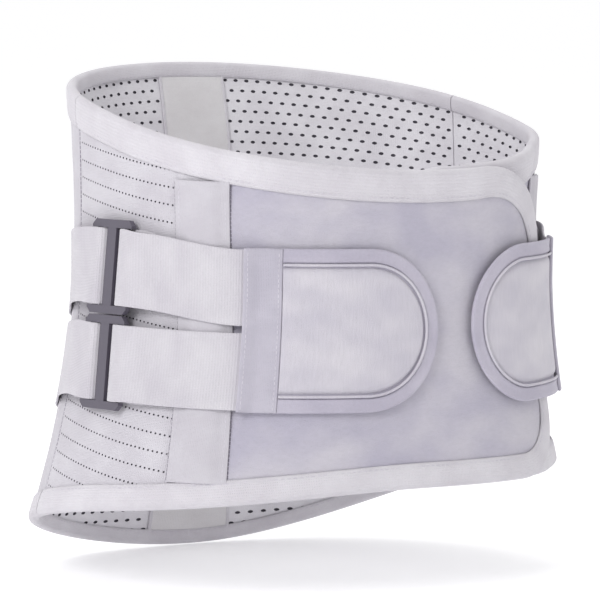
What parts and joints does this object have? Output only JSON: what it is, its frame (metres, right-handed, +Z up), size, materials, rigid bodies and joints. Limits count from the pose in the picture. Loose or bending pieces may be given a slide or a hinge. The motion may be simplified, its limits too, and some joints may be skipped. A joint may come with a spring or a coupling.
{
  "type": "lumbar support belt",
  "caption": "Lumbar support belt closed in a waist loop, with overlapping front flaps, webbing straps through three-bar rings and two padded pull tabs.",
  "frame": {"origin": "on the wearer's axis, level with the middle of the pull tabs", "axes": "+X to the wearer's left, +Y to the wearer's back, +Z up"},
  "size_m": [0.3368, 0.2587, 0.3003],
  "materials": {
    "binding_tape": "soft knitted edge tape, pale grey with a lilac cast",
    "perforated_elastic": "elastic knit with rows of small holes",
    "loop_fabric": "brushed loop pile",
    "lining": "smooth mesh knit with staggered small eyelets",
    "lining_strip": "plain smooth knit",
    "channel_tape": "plain smooth knit strip",
    "webbing": "flat elastic webbing",
    "tab_body": "brushed laminated fabric over foam",
    "tab_rim": "pressed edge of the laminated tab",
    "tab_band": "smooth folded tape",
    "hooks": "moulded hook field",
    "ring_plastic": "satin moulded plastic, dark grey",
    "stay_steel": "flat spring steel"
  },
  "bodies": {
    "back_section": {"back_bottom_binding": "binding_tape", "back_lining_left": "lining", "back_lining_right": "lining", "back_panel": "perforated_elastic", "back_top_binding": "binding_tape", "centre_lining_strip": "lining_strip", "centre_stay_left": "stay_steel", "centre_stay_right": "stay_steel", "lower_rear_strap_left": "webbing", "lower_rear_strap_right": "webbing", "rear_stay_channel_left": "channel_tape", "rear_stay_channel_right": "channel_tape", "rear_stay_left": "stay_steel", "rear_stay_right": "stay_steel", "upper_rear_strap_left": "webbing", "upper_rear_strap_right": "webbing"},
    "outer_flap": {"outer_flap_binding": "binding_tape", "outer_flap_hook_patch": "hooks", "outer_flap_lining": "lining", "outer_flap_panel": "loop_fabric", "outer_flap_stay": "stay_steel", "outer_flap_stay_channel": "channel_tape", "outer_side_panel": "perforated_elastic", "upper_ring_loop_right": "webbing", "lower_ring_loop_right": "webbing"},
    "inner_flap": {"inner_flap_binding": "binding_tape", "inner_flap_lining": "lining", "inner_flap_panel": "loop_fabric", "inner_flap_stay": "stay_steel", "inner_flap_stay_channel": "channel_tape", "inner_side_panel": "perforated_elastic", "upper_ring_loop_left": "webbing", "lower_ring_loop_left": "webbing"},
    "upper_ring_right_body": {"upper_ring_right": "ring_plastic"},
    "lower_ring_right_body": {"lower_ring_right": "ring_plastic"},
    "upper_ring_left_body": {"upper_ring_left": "ring_plastic"},
    "lower_ring_left_body": {"lower_ring_left": "ring_plastic"},
    "tab_right": {"upper_pull_strap_right": "webbing", "lower_pull_strap_right": "webbing", "tab_band_right": "tab_band", "tab_pad_right": "tab_body", "tab_rim_right": "tab_rim", "tab_hook_patch_right": "hooks"},
    "tab_left": {"upper_pull_strap_left": "webbing", "lower_pull_strap_left": "webbing", "tab_band_left": "tab_band", "tab_pad_left": "tab_body", "tab_rim_left": "tab_rim", "tab_hook_patch_left": "hooks"}
  },
  "joints": [
    {"name": "tab_left_peel", "type": "hinge", "parent": "upper_ring_left_body", "child": "tab_left", "pos_m": [0.1482, -0.02528, 0.03169], "axis": [-0.0846, 0.0324, 0.9959], "range_deg": [0, 150]},
    {"name": "tab_right_peel", "type": "hinge", "parent": "upper_ring_right_body", "child": "tab_right", "pos_m": [-0.1482, -0.02528, 0.03169], "axis": [-0.0846, -0.0324, -0.9959], "range_deg": [0, 150]},
    {"name": "outer_flap_open", "type": "hinge", "parent": "back_section", "child": "outer_flap", "pos_m": [-0.15522, 0.03963, 0.00497], "axis": [-0.1079, -0.0335, -0.9936], "range_deg": [0, 50]},
    {"name": "inner_flap_open", "type": "hinge", "parent": "back_section", "child": "inner_flap", "pos_m": [0.15316, 0.03961, 0.0117], "axis": [-0.0963, 0.0357, 0.9947], "range_deg": [0, 25]},
    {"name": "upper_ring_right_swing", "type": "hinge", "parent": "outer_flap", "child": "upper_ring_right_body", "pos_m": [-0.15028, -0.00038, 0.03106], "axis": [-0.0846, -0.0324, -0.9959], "range_deg": [0, 25]},
    {"name": "lower_ring_right_swing", "type": "hinge", "parent": "outer_flap", "child": "lower_ring_right_body", "pos_m": [-0.15492, -0.00215, -0.02351], "axis": [-0.0846, -0.0324, -0.9959], "range_deg": [0, 25]},
    {"name": "upper_ring_left_swing", "type": "hinge", "parent": "inner_flap", "child": "upper_ring_left_body", "pos_m": [0.15028, -0.00038, 0.03106], "axis": [-0.0846, 0.0324, 0.9959], "range_deg": [0, 25]},
    {"name": "lower_ring_left_swing", "type": "hinge", "parent": "inner_flap", "child": "lower_ring_left_body", "pos_m": [0.15492, -0.00215, -0.02351], "axis": [-0.0846, 0.0324, 0.9959], "range_deg": [0, 25]}
  ],
  "couplings": [
    {"joint": "outer_flap_open", "follows": "tab_left_peel", "ratio": 0.33333},
    {"joint": "inner_flap_open", "follows": "tab_left_peel", "ratio": 0.16667},
    {"joint": "lower_ring_right_swing", "follows": "upper_ring_right_swing", "ratio": 1},
    {"joint": "lower_ring_left_swing", "follows": "upper_ring_left_swing", "ratio": 1}
  ]
}
